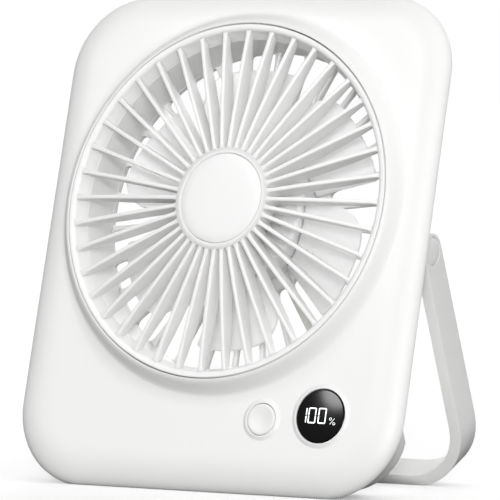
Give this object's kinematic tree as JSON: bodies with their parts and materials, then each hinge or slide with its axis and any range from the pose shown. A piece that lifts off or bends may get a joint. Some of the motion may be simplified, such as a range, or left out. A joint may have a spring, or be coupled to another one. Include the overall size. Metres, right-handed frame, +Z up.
{
  "type": "box fan",
  "caption": "Small white box fan with a ribbed round grille, a round display and a folding U-shaped handle that props it up.",
  "frame": {"origin": "centre of the bounding box of the standing fan, on the floor", "axes": "+Z up, the face looks towards -Y and leans back 15.6 degrees, +X to the right as seen from the front"},
  "size_m": [0.158, 0.0748, 0.175],
  "materials": {
    "white_abs": "fine satin moulded ABS",
    "white_grille": "satin moulded ABS",
    "white_blade": "smooth moulded ABS",
    "white_button": "satin moulded ABS",
    "black_lens": "polished smoked acrylic",
    "steel": "zinc plated",
    "dark_plastic": "moulded",
    "magnet": "pressed ferrite",
    "stator_steel": "laminated",
    "copper": "enamelled wire",
    "cast_alloy": "die cast",
    "board": "solder mask",
    "lead": "flat flexible lead",
    "cell_wrap": "shrink wrapped",
    "rubber": "moulded silicone",
    "brass": "plain"
  },
  "bodies": {
    "case": {"front_shell": "white_abs", "front_grille": "white_grille", "grille_cap": "white_grille", "rear_shell": "white_abs", "rear_grille": "white_grille", "motor_stator": "stator_steel", "motor_windings": "copper", "motor_bearings": "steel", "motor_base": "cast_alloy", "motor_board": "board", "motor_screws": "steel", "motor_lead": "lead", "button_switch": "dark_plastic", "display_lens": "black_lens", "display_module": "dark_plastic", "control_board": "board", "main_board": "board", "usb_socket": "steel", "board_screws": "steel", "battery_cells": "cell_wrap", "battery_tabs": "steel", "pivot_pins": "steel", "friction_washers": "rubber", "pivot_nuts": "brass", "case_screws": "steel"},
    "fan": {"impeller": "white_blade", "motor_shaft": "steel", "motor_can": "steel", "motor_magnet": "magnet"},
    "handle": {"handle": "white_abs", "pivot_caps": "white_abs"},
    "button": {"power_button": "white_button", "switch_plunger": "dark_plastic"}
  },
  "joints": [
    {"name": "fan_spin", "type": "hinge", "parent": "case", "child": "fan", "pos_m": [0, -0.01701, 0.10278], "axis": [0, -0.9632, 0.2689], "continuous": true},
    {"name": "handle_swing", "type": "hinge", "parent": "case", "child": "handle", "pos_m": [0, -0.00322, 0.08543], "axis": [1, 0, 0], "range_deg": [-38.2, 141.8]},
    {"name": "button_press", "type": "slide", "parent": "case", "child": "button", "axis": [0, 0.9632, -0.2689], "range_m": [0, 0.0008], "stiffness_N_per_m": 300, "springref_m": -0.0006}
  ]
}
